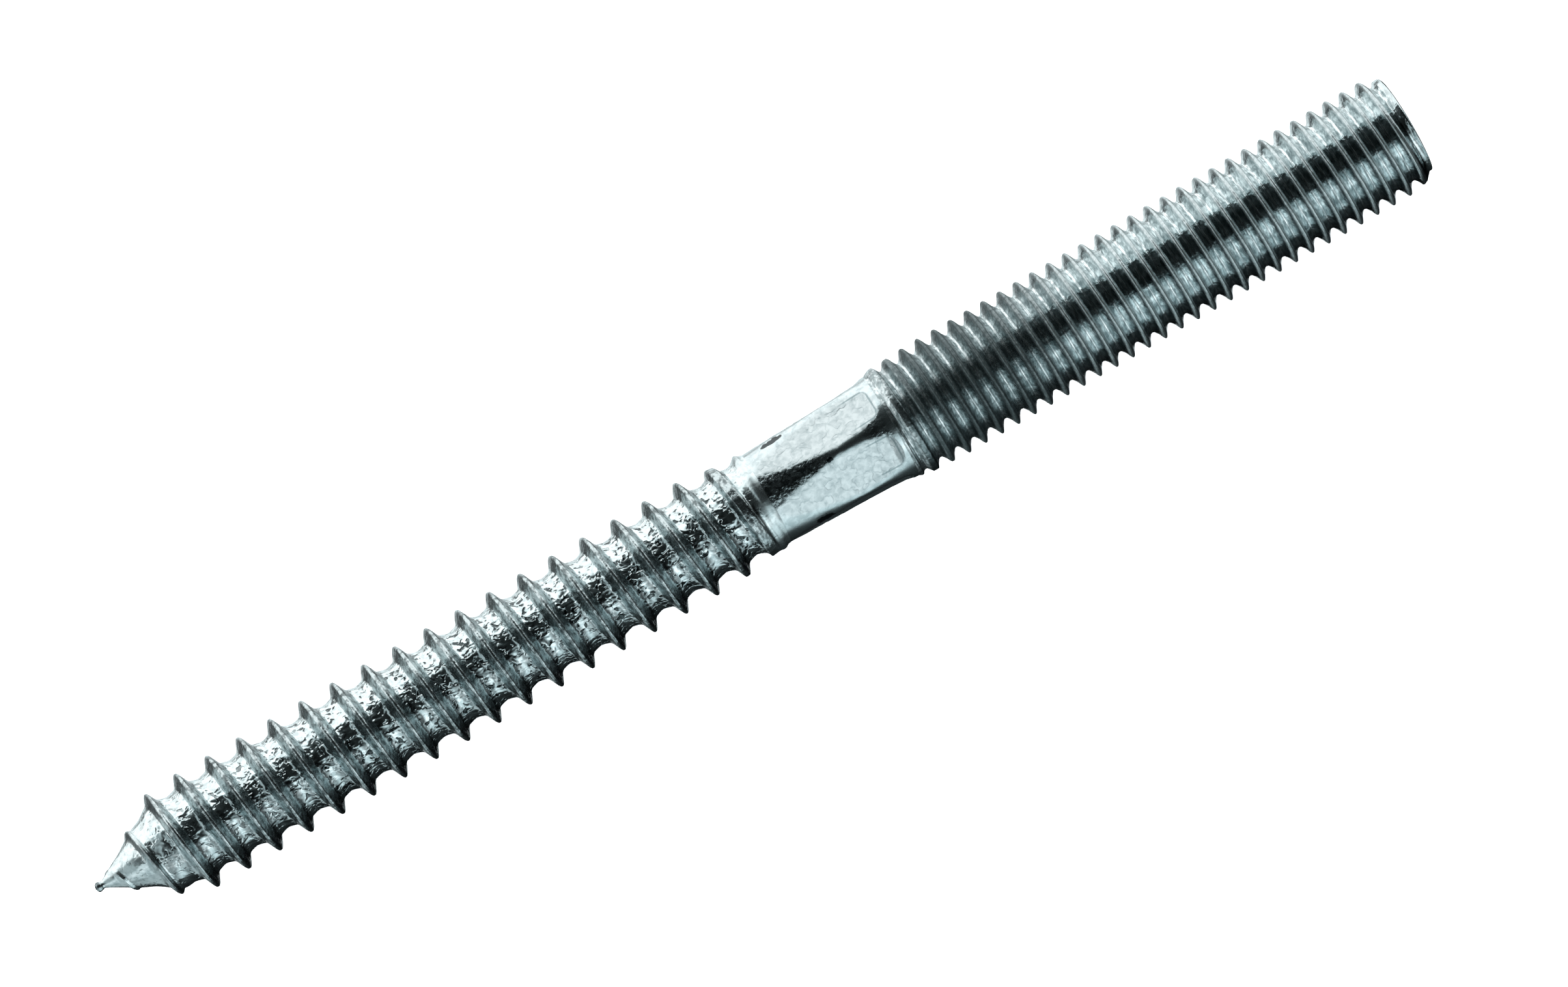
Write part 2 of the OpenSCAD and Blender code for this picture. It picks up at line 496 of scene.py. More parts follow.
@dataclass
class Shank:
    """Tapered round shank with six flats pressed into it, a corner upward."""

    low: float = 61.2
    high: float = 72.6
    blank: Curve = ((61.2, 3.95), (61.6, 3.97), (67.8, 4.46), (72.6, 4.48))
    apothem: Curve = ((61.2, 3.97), (67.8, 3.97), (70.0, 4.06), (71.6, 4.2), (72.1, 4.35), (72.6, 4.8))
    mean_radius: float = 4.3
    edge_round: float = 0.05
    flat_edge: tuple[float, float] = (-0.02, 0.06)
    flats: int = 6
    rows: int = 150
    stamp_end: float = 72.0
    stamp_half_width: float = 1.4
    stamp_corner: float = 0.5
    stamp_depth: float = 0.03
    stamp_edge: float = 0.12
    line_reach: float = 0.8
    chatter_turn: float = TAU / 2
    chatter_reach: tuple[float, float] = (1.3, 2.0)
    chatter: Curve = (
        (65.5, 1.0), (67.4, 0.2), (68.0, 0.0), (69.6, 0.0), (70.8, 0.8), (71.8, 0.8), (72.4, 0.0),
    )
    waves: Dents = Dents(seed=21, cell=1.1, cells_round=26)
    wave_depth: float = 0.012
    chips: Dents = Dents(seed=22, cell=0.45, cells_round=60)
    chip_depth: float = 0.05
    nicks: tuple[Nick, ...] = (
        Nick(z=63.7, angle=121, half_length=1.2, half_width=0.5, depth=0.04),
        Nick(z=64.4, angle=247, half_length=1.0, half_width=0.65, depth=0.03),
        Nick(z=66.9, angle=183, half_length=0.32, half_width=0.3, depth=0.05),
    )

    def surface(self, z: np.ndarray, theta: np.ndarray) -> tuple[np.ndarray, dict[str, np.ndarray]]:
        """Works out the skin of the shank.

        Args:
            z: Distances from the tip.
            theta: Angles round the axis.

        Returns:
            The radius, and by name the shares that are pressed flat and chipped, the place across the
            pressed outline, and the share that is rough from the press.
        """
        side = TAU / self.flats
        off = theta % side - side / 2
        blank = along(self.blank, z)
        apothem = along(self.apothem, z)
        across = apothem * np.tan(off)
        inside = np.minimum(self.stamp_end - z, self.stamp_half_width - np.abs(across))
        corner = self.stamp_corner
        to_corner = np.hypot(
            np.minimum(self.stamp_end - z - corner, 0),
            np.minimum(self.stamp_half_width - np.abs(across) - corner, 0),
        )
        inside = np.minimum(inside, corner - to_corner)
        stamped = smooth_step(0, self.stamp_edge, inside)
        pressed = (apothem - self.stamp_depth * stamped) / np.cos(off)
        radius = smooth_min(blank, pressed, self.edge_round)
        flat = smooth_step(*self.flat_edge, blank - pressed)
        radius = radius + self.wave_depth * self.waves.at(z, theta)
        edge = 4 * flat * (1 - flat)
        radius = radius - self.chip_depth * edge * np.maximum(self.chips.at(z, theta), 0)
        chipped = np.zeros_like(z)
        for nick in self.nicks:
            share = nick.share(z, theta, self.mean_radius)
            radius = radius - nick.depth * share
            chipped = np.maximum(chipped, share)
        line = np.clip(0.5 + inside / self.line_reach / 2, 0, 1)
        turn = (theta + self.chatter_turn / 2) % self.chatter_turn - self.chatter_turn / 2
        near = 1 - smooth_step(*self.chatter_reach, np.abs(turn) * blank)
        chatter = near * along(self.chatter, z) * (1 - flat)
        return radius, {"flat": flat, "nick": chipped, "line": line, "chatter": chatter}

    def build(self, skin: Skin, foot: np.ndarray) -> np.ndarray:
        """Builds the shank on from the wood thread.

        Args:
            skin: Skin that takes the points and faces.
            foot: Point numbers of the ring that the shank starts from.

        Returns:
            Point numbers of the last ring.
        """
        last = foot
        for z in np.linspace(self.low, self.high, self.rows + 1)[1:]:
            radius, traits = self.surface(np.full(COLUMNS, z), ANGLES)
            ring = skin.add(z, ANGLES, radius, **traits)
            skin.band(Zone.SHANK, last, ring)
            last = ring
        return last


@dataclass
class MachineThread(Thread):
    """Metric machine thread that rises from the shank and ends in a chamfer and a flat face."""

    zone: Zone = Zone.MACHINE
    pitch: float = 1.5
    crest_start: float = 72.9
    low: float = 72.6
    high: float = 119.4
    length: float = 120.0
    steepness: float = 2.2
    crest_width: float = 0.11
    root_width: float = 0.2
    edge_power: float = 3.0
    root: Curve = ((72.6, 4.45), (74.0, 4.18), (75.4, 4.02))
    crest_limit: Curve = ((72.6, 4.5), (73.3, 4.79), (74.8, 4.83), (76.4, 4.99), (77.5, 5.0))
    chamfer: Curve = ((118.3, 5.02), (119.2, 4.62), (119.8, 4.44), (120.0, 4.4))
    limit_round: float = 0.03
    edge_round: float = 0.22
    edge_rings: int = 5
    face_shares: tuple[float, ...] = (0.96, 0.85, 0.65, 0.4, 0.2)
    row_places: tuple[float, ...] = (0.05, 0.12, 0.24, 0.36, 0.48, 0.61)
    nicks: Dents = Dents(seed=31, cell=0.6, cells_round=44)
    nick_depth: float = 0.03
    nick_level: float = 0.6
    worn_start: tuple[float, float] = (72.4, 75.0)

    def surface(self, z: np.ndarray, theta: np.ndarray) -> tuple[np.ndarray, dict[str, np.ndarray]]:
        """Works out the skin of the thread.

        Args:
            z: Distances from the tip.
            theta: Angles round the axis.

        Returns:
            The radius, and by name the share of the thread's height.
        """
        away = self.crest_distance(z, theta)
        height = self.steepness * (self.pitch / 2 - self.crest_width - self.root_width)
        ridge = height - self.steepness * rounded(away, self.crest_width, self.edge_power)
        valley = self.steepness * rounded(self.pitch / 2 - away, self.root_width, self.edge_power)
        root = along(self.root, z)
        radius = root + np.where(away < self.pitch / 4, ridge, valley)
        radius = smooth_min(radius, along(self.crest_limit, z), self.limit_round)
        radius = smooth_min(radius, along(self.chamfer, z), self.limit_round)
        crest = np.clip((radius - root) / height, 0, 1)
        uneven = self.nick_depth * crest * (self.nicks.at(z, theta) - self.nick_level)
        return radius + uneven, {"crest": crest * smooth_step(*self.worn_start, z)}

    def build(self, skin: Skin, foot: np.ndarray) -> None:
        """Builds the thread on from the shank, and closes the bolt with its end face.

        Args:
            skin: Skin that takes the points and faces.
            foot: Point numbers of the ring that the thread starts from.
        """
        last = self.wind(skin, foot)
        rim = self.round_edge(skin, last)
        self.end_face(skin, rim)

    def round_edge(self, skin: Skin, last: np.ndarray) -> np.ndarray:
        """Rounds the rim between the chamfer and the end face.

        Args:
            skin: Skin that takes the points and faces.
            last: Point numbers of the last ring of the thread.

        Returns:
            Point numbers of the rim of the end face.
        """
        start = self.length - self.edge_round
        for turn in np.linspace(0, math.pi / 2, self.edge_rings + 1):
            z = start + self.edge_round * math.sin(turn)
            inset = self.edge_round * (1 - math.cos(turn))
            radius, traits = self.surface(np.full(COLUMNS, z), ANGLES)
            ring = skin.add(z, ANGLES, radius - inset, **traits)
            skin.band(self.zone, last, ring)
            last = ring
        return last

    def end_face(self, skin: Skin, rim: np.ndarray) -> None:
        """Closes the end of the bolt with a flat face.

        Args:
            skin: Skin that takes the points and faces.
            rim: Point numbers of the rim of the face.
        """
        radius, _ = self.surface(np.full(COLUMNS, self.length), ANGLES)
        last = rim
        for share in self.face_shares:
            ring = skin.add(self.length, ANGLES, (radius - self.edge_round) * share)
            skin.band(self.zone, last, ring)
            last = ring
        skin.cap(self.zone, last, skin.add(self.length, 0.0, 0.0)[0], 1)


@dataclass(frozen=True)
class Fade:
    """Smooth change of a number: from start at low to end at high, and level beyond them."""

    low: float
    high: float
    start: float = 0.0
    end: float = 1.0

    def back(self) -> "Fade":
        """Gives the same change the other way."""
        return Fade(self.low, self.high, self.end, self.start)

    def from_degrees(self) -> "Fade":
        """Gives the same change with low and high in radians."""
        return Fade(math.radians(self.low), math.radians(self.high), self.start, self.end)


@dataclass(frozen=True)
class Grain:
    """Soft noise on the metal: the size of its spots in millimetres, and how they are drawn out."""

    size: float
    detail: float = 2.0
    stir: float = 0.0
    squeeze: tuple[float, float, float] = (1.0, 1.0, 1.0)


class Graph:
    """Node tree of a material or the world, with short calls for the nodes that it needs."""

    def __init__(self, tree: bpy.types.NodeTree) -> None:
        """Clears a node tree and keeps it.

        Args:
            tree: Node tree of a material or a world.
        """
        self.tree = tree
        tree.nodes.clear()

    def node(self, kind: str, **settings: object) -> bpy.types.Node:
        """Adds a node.

        Args:
            kind: Type of the node.
            **settings: Properties to set, by name.

        Returns:
            The node.
        """
        made = self.tree.nodes.new(kind)
        for name, value in settings.items():
            setattr(made, name, value)
        return made

    def feed(self, socket: Socket, value: Socket | float | tuple[float, ...]) -> None:
        """Links a socket, or sets it where the value is a plain one.

        Args:
            socket: Socket that takes the value.
            value: Another node's socket, a number or a colour.
        """
        if isinstance(value, bpy.types.NodeSocket):
            self.tree.links.new(value, socket)
        else:
            socket.default_value = value

    def math(self, operation: str, *numbers: Socket | float) -> Socket:
        """Works out a number.

        Args:
            operation: What is done with the numbers.
            *numbers: One to three numbers.

        Returns:
            The result.
        """
        made = self.node("ShaderNodeMath", operation=operation)
        for socket, number in zip(made.inputs, numbers):
            self.feed(socket, number)
        return made.outputs[0]

    def product(self, *numbers: Socket | float) -> Socket:
        """Multiplies numbers.

        Args:
            *numbers: Two or more numbers, the first from a socket.

        Returns:
            Their product.
        """
        made = numbers[0]
        for number in numbers[1:]:
            made = self.math("MULTIPLY", made, number)
        return made

    def trait(self, trait: Trait) -> Socket:
        """Reads one of the skin's traits."""
        return self.node("ShaderNodeAttribute", attribute_name=trait.value).outputs["Fac"]

    def fade(self, value: Socket, fade: Fade) -> Socket:
        """Maps a number by a smooth change.

        Args:
            value: Number to map.
            fade: The change.

        Returns:
            The mapped number.
        """
        made = self.node("ShaderNodeMapRange", interpolation_type="SMOOTHSTEP")
        made.inputs["From Min"].default_value = fade.low
        made.inputs["From Max"].default_value = fade.high
        made.inputs["To Min"].default_value = fade.start
        made.inputs["To Max"].default_value = fade.end
        self.feed(made.inputs["Value"], value)
        return made.outputs["Result"]

    def noise(self, grain: Grain, where: Socket) -> Socket:
        """Adds soft noise.

        Args:
            grain: How the noise is drawn.
            where: Place to read it at, in metres.

        Returns:
            The noise, about 0.5 on average.
        """
        squeezed = self.node("ShaderNodeVectorMath", operation="MULTIPLY")
        self.feed(squeezed.inputs[0], where)
        squeezed.inputs[1].default_value = grain.squeeze
        made = self.node("ShaderNodeTexNoise")
        made.inputs["Scale"].default_value = 1 / (grain.size * MM)
        made.inputs["Detail"].default_value = grain.detail
        made.inputs["Distortion"].default_value = grain.stir
        self.feed(made.inputs["Vector"], squeezed.outputs[0])
        return made.outputs["Fac"]

    def blend(self, share: Socket, low: Socket | tuple, high: Socket | tuple) -> Socket:
        """Goes from one colour to another.

        Args:
            share: How much of the second colour shows, from 0 to 1.
            low: First colour.
            high: Second colour.

        Returns:
            The blended colour.
        """
        made = self.node("ShaderNodeMix", data_type="RGBA")
        self.feed(made.inputs[0], share)
        self.feed(made.inputs[6], low)
        self.feed(made.inputs[7], high)
        return made.outputs[2]

    def place(self) -> Socket:
        """Gives the place on the object, in metres."""
        return self.node("ShaderNodeTexCoord").outputs["Object"]

    def axis(self, where: Socket, name: str) -> Socket:
        """Takes a place or a direction apart.

        Args:
            where: The place or direction.
            name: The part to give: X, Y or Z.

        Returns:
            The part.
        """
        made = self.node("ShaderNodeSeparateXYZ")
        self.feed(made.inputs[0], where)
        return made.outputs[name]

    def bump(
        self, height: Socket, depth: float, strength: Socket | float = 1.0, under: Socket | None = None
    ) -> Socket:
        """Turns a height from 0 to 1 into a slope.

        Args:
            height: Height map.
            depth: Depth of the relief, in millimetres.
            strength: Share of the relief that shows.
            under: Normal that the relief lies on, if it isn't the plain one.

        Returns:
            The normal.
        """
        made = self.node("ShaderNodeBump")
        made.inputs["Distance"].default_value = depth * MM
        self.feed(made.inputs["Strength"], strength)
        self.feed(made.inputs["Height"], height)
        if under is not None:
            self.feed(made.inputs["Normal"], under)
        return made.outputs["Normal"]


@dataclass(frozen=True)
class ZincFinish:
    """Bright zinc on steel: what its finishes on this bolt have in common."""

    name: str
    clean: Colour = (0.68, 0.76, 0.775, 1.0)
    dull: Colour = (0.3, 0.37, 0.385, 1.0)

    def material(self) -> bpy.types.Material:
        """Makes the material.

        Returns:
            A metal whose colour, roughness and relief come from the finish.
        """
        material = bpy.data.materials.new(self.name)
        material.use_nodes = True
        graph = Graph(material.node_tree)
        metal = graph.node("ShaderNodeBsdfPrincipled")
        metal.inputs["Metallic"].default_value = 1.0
        colour, roughness, normal = self.looks(graph)
        graph.feed(metal.inputs["Base Color"], colour)
        graph.feed(metal.inputs["Roughness"], roughness)
        graph.feed(metal.inputs["Normal"], normal)
        output = graph.node("ShaderNodeOutputMaterial")
        graph.tree.links.new(metal.outputs[0], output.inputs[0])
        return material

    def looks(self, graph: Graph) -> tuple[Socket, Socket, Socket]:
        """Mixes the finish.

        Args:
            graph: Node tree of the material.

        Returns:
            The colour, the roughness and the normal.
        """
        raise NotImplementedError


@dataclass(frozen=True)
class PittedZinc(ZincFinish):
    """Finish of the wood thread: bright roots with dark pits, and greyer ridges with soft stains."""

    ridge_rise: Fade = Fade(0.12, 0.4)
    root_fall: Fade = Fade(0.08, 0.3, 1.0, 0.0)
    tarnish_rise: Fade = Fade(0.0, 0.7, 0.4, 1.0)
    waves: Grain = Grain(0.55, detail=1.0, stir=0.4, squeeze=(0.6, 1.0, 1.0))
    wave_relief: float = 0.14
    wave_rise: Fade = Fade(0.0, 0.8, 0.15, 1.0)
    pits: Grain = Grain(0.48, detail=1.0, stir=0.5)
    pit_wall: Fade = Fade(0.3, 0.46)
    pit_relief: float = 0.08
    pit_fill: Fade = Fade(0.0, 0.9, 0.96, 0.0)
    pit_colour: Colour = (0.05, 0.064, 0.067, 1.0)
    lumps: Grain = Grain(0.5, detail=3.0, squeeze=(1.5, 1.0, 1.0))
    lump_relief: float = 0.08
    ridge_colour: Colour = (0.56, 0.63, 0.64, 1.0)
    stain: Fade = Fade(0.42, 0.66, 0.0, 0.85)
    stain_colour: Colour = (0.1, 0.125, 0.13, 1.0)
    haze: Grain = Grain(0.45, detail=4.0, stir=0.3)
    haze_share: Fade = Fade(0.4, 0.7, 0.0, 0.45)
    roughness: Fade = Fade(0.05, 0.6, 0.15, 0.22)
    stain_roughness: float = 0.12
    point_fall: Fade = Fade(0.0, 0.5, 1.0, 0.0)
    point_roughness: float = 0.12

    def looks(self, graph: Graph) -> tuple[Socket, Socket, Socket]:
        """Mixes the finish.

        Args:
            graph: Node tree of the material.

        Returns:
            The colour, the roughness and the normal.
        """
        where = graph.place()
        crest = graph.trait(Trait.CREST)
        pitted = graph.trait(Trait.PITTED)
        root = graph.product(graph.fade(crest, self.root_fall), pitted)
        tarnish = graph.product(graph.fade(crest, self.ridge_rise), graph.fade(pitted, self.tarnish_rise))
        holes = graph.fade(graph.noise(self.pits, where), self.pit_wall)
        lumps = graph.noise(self.lumps, where)
        waves = graph.noise(self.waves, where)
        normal = graph.bump(waves, self.wave_relief, graph.fade(root, self.wave_rise))
        normal = graph.bump(holes, self.pit_relief, root, normal)
        normal = graph.bump(lumps, self.lump_relief, tarnish, normal)
        hazy = graph.fade(graph.noise(self.haze, where), self.haze_share)
        colour = graph.blend(hazy, self.clean, self.dull)
        colour = graph.blend(tarnish, colour, self.ridge_colour)
        stained = graph.product(tarnish, graph.fade(lumps, self.stain))
        colour = graph.blend(stained, colour, self.stain_colour)
        filled = graph.product(root, graph.fade(holes, self.pit_fill))
        colour = graph.blend(filled, colour, self.pit_colour)
        roughness = graph.fade(crest, self.roughness)
        roughness = graph.math("MULTIPLY_ADD", stained, self.stain_roughness, roughness)
        point = graph.fade(pitted, self.point_fall)
        roughness = graph.math("MULTIPLY_ADD", point, self.point_roughness, roughness)
        return colour, roughness, normal


@dataclass(frozen=True)
class PressedZinc(ZincFinish):
    """Finish of the shank: mottled flats with fine stains and a pressed outline, and dark nicks.

    The ridges between the flats are bare, but those on top and below are rough and dark at both ends.
    The outline rises along X, in metres.
    """

    mottle: Grain = Grain(0.5, detail=4.0, stir=0.4)
    mottle_share: Fade = Fade(0.35, 0.7, 0.0, 0.45)
    stains: Grain = Grain(1.0)
    stain_edge: Fade = Fade(0.0, 0.05, 1.0, 0.0)
    stain_share: float = 0.22
    stain_relief: float = -0.2
    line_edge: Fade = Fade(0.0275, 0.055, 1.0, 0.0)
    line_rise: Fade = Fade(0.0092, 0.0106)
    line_share: float = 0.9
    lumps: Grain = Grain(0.4)
    lump_relief: float = 0.09
    nick_ragged: float = 1.8
    nick_edge: Fade = Fade(0.35, 0.5)
    nick_rise: Fade = Fade(0.02, 0.2)
    dirt: Fade = Fade(0.4, 0.6, 0.3, 0.8)
    flat_colour: Colour = (0.63, 0.69, 0.7, 1.0)
    mark_colour: Colour = (0.04, 0.05, 0.053, 1.0)
    roughness: Fade = Fade(0.2, 0.9, 0.16, 0.26)
    mottle_roughness: float = 0.12
    mottle_relief: float = 0.03
    flat_relief: Fade = Fade(0.0, 1.0, 0.3, 1.0)

    def looks(self, graph: Graph) -> tuple[Socket, Socket, Socket]:
        """Mixes the finish.

        Args:
            graph: Node tree of the material.

        Returns:
            The colour, the roughness and the normal.
        """
        where = graph.place()
        flat = graph.trait(Trait.FLAT)
        nick = graph.trait(Trait.NICK)
        chatter = graph.trait(Trait.CHATTER)
        mottle = graph.noise(self.mottle, where)
        lumps = graph.noise(self.lumps, where)
        stains = self.near_half(graph, graph.noise(self.stains, where), self.stain_edge)
        stains = graph.product(stains, flat)
        line = self.near_half(graph, graph.trait(Trait.LINE), self.line_edge)
        line = graph.product(line, flat, graph.fade(graph.axis(where, "X"), self.line_rise))
        grime = graph.fade(mottle, self.mottle_share)
        grime = graph.math("MULTIPLY_ADD", stains, self.stain_share, grime)
        grime = graph.math("MULTIPLY_ADD", line, self.line_share, grime)
        colour = graph.blend(grime, graph.blend(flat, self.clean, self.flat_colour), self.dull)
        ragged = graph.math("MULTIPLY_ADD", graph.math("SUBTRACT", lumps, 0.5), self.nick_ragged, nick)
        marked = graph.product(graph.fade(ragged, self.nick_edge), graph.fade(nick, self.nick_rise))
        dirty = graph.product(chatter, graph.fade(lumps, self.dirt))
        colour = graph.blend(graph.math("MAXIMUM", marked, dirty), colour, self.mark_colour)
        roughness = graph.fade(flat, self.roughness)
        roughness = graph.math("MULTIPLY_ADD", mottle, self.mottle_roughness, roughness)
        height = graph.math("MULTIPLY_ADD", stains, self.stain_relief, mottle)
        normal = graph.bump(height, self.mottle_relief, graph.fade(flat, self.flat_relief))
        normal = graph.bump(lumps, self.lump_relief, chatter, normal)
        return colour, roughness, normal

    def near_half(self, graph: Graph, value: Socket, edge: Fade) -> Socket:
        """Finds the thin lines along which a number is a half.

        Args:
            graph: Node tree that takes the nodes.
            value: Number from 0 to 1.
            edge: How the line fades with the distance from a half.

        Returns:
            The share of the line.
        """
        away = graph.math("ABSOLUTE", graph.math("SUBTRACT", value, 0.5))
        return graph.fade(away, edge)


@dataclass(frozen=True)
class RolledZinc(ZincFinish):
    """Finish of the machine thread: bright, streaked roots and worn crests, duller towards the shank.

    The dull stretch ends, and the end face starts, along X, in metres.
    """

    dull_fall: Fade = Fade(0.020, 0.034, 1.0, 0.0)
    wear: Fade = Fade(0.62, 0.85)
    flank_rise: Fade = Fade(0.12, 0.4)
    flank_colour: Colour = (0.62, 0.69, 0.7, 1.0)
    dull_flank_colour: Colour = (0.2, 0.245, 0.255, 1.0)
    crest_colour: Colour = (0.56, 0.63, 0.64, 1.0)
    dull_crest_colour: Colour = (0.13, 0.16, 0.165, 1.0)
    streaks: Grain = Grain(0.75, stir=0.3, squeeze=(3.5, 1.0, 1.0))
    streak_share: Fade = Fade(0.4, 0.62, 0.0, 0.8)
    streak_colour: Colour = (0.24, 0.3, 0.31, 1.0)
    end_face: Fade = Fade(0.0594, 0.0599, 1.0, 0.2)
    specks: Grain = Grain(0.3, detail=3.0)
    speck_share: Fade = Fade(0.4, 0.66, 0.0, 0.95)
    speck_colour: Colour = (0.12, 0.15, 0.155, 1.0)
    speck_relief: float = 0.04
    crest_specks: Fade = Fade(0.0, 1.0, 0.3, 1.0)
    flank_specks: Fade = Fade(0.0, 0.3, 0.3, 0.9)
    glints: Grain = Grain(0.4, squeeze=(2.0, 1.0, 1.0))
    glint_share: Fade = Fade(0.45, 0.75, 0.0, 0.5)
    glint_fall: Fade = Fade(0.0, 1.0, 1.0, 0.2)
    roughness: Fade = Fade(0.5, 0.9, 0.13, 0.34)
    speck_roughness: float = 0.1
    dull_roughness: float = 0.15
    waves: Grain = Grain(0.45)
    wave_relief: float = 0.05
    wave_rise: Fade = Fade(0.0, 0.6, 0.6, 1.0)

    def looks(self, graph: Graph) -> tuple[Socket, Socket, Socket]:
        """Mixes the finish.

        Args:
            graph: Node tree of the material.

        Returns:
            The colour, the roughness and the normal.
        """
        where = graph.place()
        crest = graph.trait(Trait.CREST)
        distance = graph.axis(where, "X")
        dull = graph.fade(distance, self.dull_fall)
        worn = graph.fade(crest, self.wear)
        flank = graph.product(graph.fade(crest, self.flank_rise), graph.fade(crest, self.wear.back()))
        side = graph.blend(dull, self.flank_colour, self.dull_flank_colour)
        top = graph.blend(dull, self.crest_colour, self.dull_crest_colour)
        streaks = graph.fade(graph.noise(self.streaks, where), self.streak_share)
        streaks = graph.product(streaks, graph.fade(distance, self.end_face))
        colour = graph.blend(flank, self.clean, side)
        colour = graph.blend(streaks, colour, self.streak_colour)
        colour = graph.blend(worn, colour, top)
        specks = graph.noise(self.specks, where)
        rough = graph.product(worn, graph.fade(dull, self.crest_specks))
        rough = graph.math("MAXIMUM", rough, graph.product(dull, graph.fade(crest, self.flank_specks)))
        dark = graph.product(rough, graph.fade(specks, self.speck_share))
        colour = graph.blend(dark, colour, self.speck_colour)
        glints = graph.fade(graph.noise(self.glints, where), self.glint_share)
        glints = graph.product(worn, glints, graph.fade(dull, self.glint_fall))
        colour = graph.blend(glints, colour, self.clean)
        roughness = graph.fade(crest, self.roughness)
        roughness = graph.math("MULTIPLY_ADD", dark, self.speck_roughness, roughness)
        roughness = graph.math("MULTIPLY_ADD", dull, self.dull_roughness, roughness)
        waves = graph.noise(self.waves, where)
        normal = graph.bump(waves, self.wave_relief, graph.fade(crest, self.wave_rise))
        normal = graph.bump(specks, self.speck_relief, rough, normal)
        return colour, roughness, normal


@dataclass
class HangerBolt:
    """The whole bolt: its stretches, its finishes and where it lies."""

    wood: WoodThread = field(default_factory=WoodThread)
    shank: Shank = field(default_factory=Shank)
    machine: MachineThread = field(default_factory=MachineThread)
    finishes: tuple[ZincFinish, ...] = (
        PittedZinc("zinc_wood_thread", clean=(0.75, 0.83, 0.84, 1.0)),
        PressedZinc("zinc_shank"),
        RolledZinc("zinc_machine_thread", clean=(0.78, 0.85, 0.86, 1.0)),
    )

    def build(self) -> bpy.types.Object:
        """Builds the skin and lays it where the frame's bolt lies.

        Returns:
            The piece, dressed and riding on its body.
        """
        low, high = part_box(NODE)
        axis_height = (low.z + high.z) / 2 / MM
        middle = self.machine.length - high.x / MM
        skin = Skin()
        ring = self.wood.build(skin)
        ring = self.shank.build(skin, ring)
        self.machine.build(skin, ring)
        mesh = skin.mesh("zinc_hanger_bolt", axis_height, middle)
        piece = bpy.data.objects.new("zinc_hanger_bolt", mesh)
        bpy.context.scene.collection.objects.link(piece)
        self.dress(piece)
        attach(piece, BODY)
        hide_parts(NODE)
        return piece

    def dress(self, piece: bpy.types.Object) -> None:
        """Gives each stretch its finish, in the order of the zones."""
        for finish in self.finishes:
            piece.data.materials.append(finish.material())


@dataclass
class PaleFloor:
    """Plain pale floor under the bolt."""

    half_size: float = 3.0
    colour: Colour = (0.93, 0.935, 0.94, 1.0)

    def build(self, height: float) -> bpy.types.Object:
        """Lays the floor.

        Args:
            height: Height that the bolt rests on, in metres.

        Returns:
            The floor.
        """
        s = self.half_size
        corners = [(-s, -s, height), (s, -s, height), (s, s, height), (-s, s, height)]
        mesh = bpy.data.meshes.new("floor")
        mesh.from_pydata(corners, [], [(0, 1, 2, 3)])
        floor = bpy.data.objects.new("floor", mesh)
        bpy.context.scene.collection.objects.link(floor)
        material = bpy.data.materials.new("pale_floor")
        material.use_nodes = True
        graph = Graph(material.node_tree)
        paint = graph.node("ShaderNodeBsdfDiffuse")
        paint.inputs["Color"].default_value = self.colour
        output = graph.node("ShaderNodeOutputMaterial")
        graph.tree.links.new(paint.outputs[0], output.inputs[0])
        mesh.materials.append(material)
        floor.visible_glossy = False
        return floor


